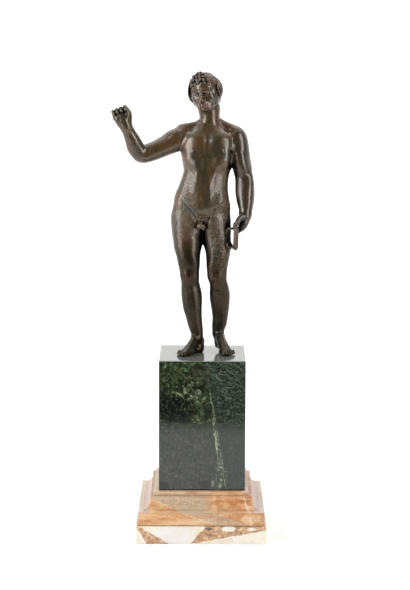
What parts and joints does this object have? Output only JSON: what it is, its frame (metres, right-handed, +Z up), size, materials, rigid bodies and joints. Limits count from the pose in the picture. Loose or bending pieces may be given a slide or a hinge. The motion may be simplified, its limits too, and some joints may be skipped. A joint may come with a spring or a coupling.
{
  "type": "statuette of a standing youth",
  "caption": "Bronze statuette of a nude standing youth with one arm raised, on a tall green marble block with a moulded orange marble base and a pale breccia plinth.",
  "frame": {"origin": "middle of the plinth's underside", "axes": "+Z up; the figure faces -Y; +X is the viewer's right, on the side of its lowered left arm"},
  "size_m": [0.1068, 0.09, 0.3225],
  "materials": {
    "bronze": "dark brown patina",
    "green_marble": "polished",
    "orange_marble": "polished",
    "breccia": "polished"
  },
  "bodies": {
    "root": {"bronze_youth": "bronze", "green_marble_block": "green_marble", "moulded_marble_base": "orange_marble", "breccia_plinth": "breccia"}
  },
  "joints": []
}
